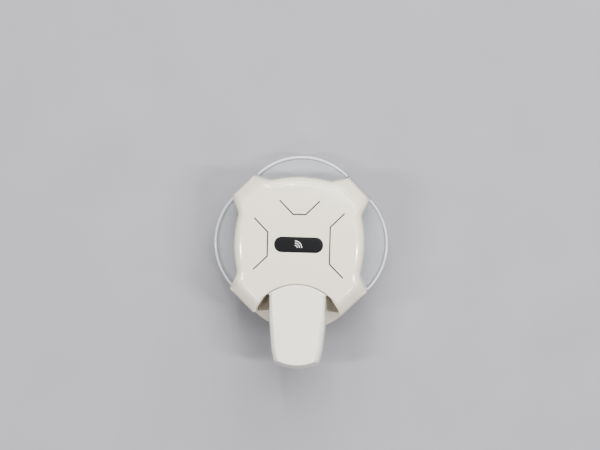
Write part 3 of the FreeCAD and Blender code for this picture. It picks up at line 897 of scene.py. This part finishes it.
def make_springs():
    """Compression springs round the posts, with closed ends."""
    for end in SPRING_ENDS:
        low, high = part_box("guide_post_" + end)
        centre = (low + high) / 2 / MM
        bm = bmesh.new()
        rings = []
        for k in range(SPRING_STEPS + 1):
            share = k / SPRING_STEPS
            a = 2 * math.pi * SPRING_TURNS * share
            out = Vector((math.cos(a), math.sin(a), 0))
            middle = Vector((centre.x, centre.y, spring_height(share))) + out * SPRING_RADIUS
            loop = []
            for side in range(WIRE_SIDES):
                b = 2 * math.pi * side / WIRE_SIDES
                offset = out * (WIRE_RADIUS * math.cos(b)) + Vector((0, 0, WIRE_RADIUS * math.sin(b)))
                loop.append(bm.verts.new(middle + offset))
            rings.append(loop)
        for k in range(SPRING_STEPS):
            wall(bm, rings[k], rings[k + 1])
        bm.faces.new(rings[0])
        bm.faces.new(rings[-1])
        spring = collected("spring_" + end, bm, SPRING_STEEL, "housing", 60.0)
        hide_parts("return_spring_" + end)
        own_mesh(spring)


# ---------------------------------------------------------------- stage

def make_floor():
    """Plain pale floor."""
    mesh = bpy.data.meshes.new("floor")
    mesh.from_pydata([(-2, -2, 0), (2, -2, 0), (2, 2, 0), (-2, 2, 0)], [], [(0, 1, 2, 3)])
    material, tree, shader = new_material("floor_look")
    paper = noise(tree, 30.0, 3.0)
    tint = ramp(tree, paper, (0.262, 0.259, 0.278), (0.280, 0.277, 0.296))
    tree.links.new(tint, shader.inputs["Base Color"])
    shader.inputs["Roughness"].default_value = 0.8
    mesh.materials.append(material)
    floor = bpy.data.objects.new("floor", mesh)
    bpy.context.scene.collection.objects.link(floor)


def add_softbox(name, place, target, size, power):
    """Rectangular soft light aimed at a point, in metres."""
    data = bpy.data.lights.new(name, "AREA")
    data.shape = "RECTANGLE"
    data.size, data.size_y = size
    data.energy = power
    lamp = bpy.data.objects.new(name, data)
    lamp.location = place
    lamp.rotation_mode = "QUATERNION"
    lamp.rotation_quaternion = (Vector(target) - Vector(place)).to_track_quat("-Z", "Y")
    bpy.context.scene.collection.objects.link(lamp)


# Name, place, size in metres and power. The two large boxes above the rear light the top, and
# the narrow ones draw the highlights along the edges.
SOFTBOXES = (
    ("top_box", (0.25, 0.50, 1.45), (1.0, 0.6), 22.4),
    ("rear_box", (0.25, 1.15, 0.75), (1.4, 0.4), 22.5),
    ("left_box", (-0.60, -0.08, 0.95), (0.045, 0.36), 8.0),
    ("right_box", (0.60, -0.08, 0.95), (0.045, 0.36), 10.0),
    ("rear_left_box", (-0.115, 0.60, 0.95), (0.05, 0.30), 3.0),
    ("front_left_box", (-0.42, -0.45, 0.95), (0.04, 0.15), 1.3),
    ("front_right_box", (0.42, -0.45, 0.95), (0.04, 0.15), 1.6),
)
LIGHT_TARGET = (0.0, -0.005, 0.02)


def make_lights():
    """Soft boxes, and a faint even light from the room."""
    for name, place, size, power in SOFTBOXES:
        add_softbox(name, place, LIGHT_TARGET, size, power)
    world = bpy.data.worlds.new("room")
    world.use_nodes = True
    background = world.node_tree.nodes["Background"]
    background.inputs["Color"].default_value = (1.0, 0.98, 0.96, 1.0)
    background.inputs["Strength"].default_value = 0.07
    bpy.context.scene.world = world


CAMERA_ROLL = 1.5
TILT_RIGHT = 2.1
TILT_REAR = 1.3
CAMERA_TARGET = (0.00055, 0.00815, 0.04)


def make_camera():
    """Camera above the tool, a little to its right and rear, and turned about its line of sight."""
    distance = 1.04
    view_width = 0.2469
    data = bpy.data.cameras.new("camera")
    data.sensor_width = 36.0
    data.lens = 36.0 * distance / view_width
    data.clip_start = 0.05
    camera = bpy.data.objects.new("camera", data)
    roll = math.radians(CAMERA_ROLL)
    right = Vector((math.cos(roll), math.sin(roll), 0))
    up = Vector((-math.sin(roll), math.cos(roll), 0))
    target = right * CAMERA_TARGET[0] + up * CAMERA_TARGET[1] + Vector((0, 0, CAMERA_TARGET[2]))
    lean = right * math.tan(math.radians(TILT_RIGHT)) + up * math.tan(math.radians(TILT_REAR))
    back = (lean + Vector((0, 0, 1))).normalized()
    camera.location = target + back * distance
    across = up.cross(back).normalized()
    turn = Matrix((across, back.cross(across), back)).transposed()
    camera.rotation_euler = turn.to_euler()
    bpy.context.scene.collection.objects.link(camera)
    bpy.context.scene.camera = camera


dress_cad_nodes()
make_cover()
make_guide_marks()
make_badge()
make_lever()
make_wing_rims()
make_springs()
make_floor()
make_lights()
make_camera()
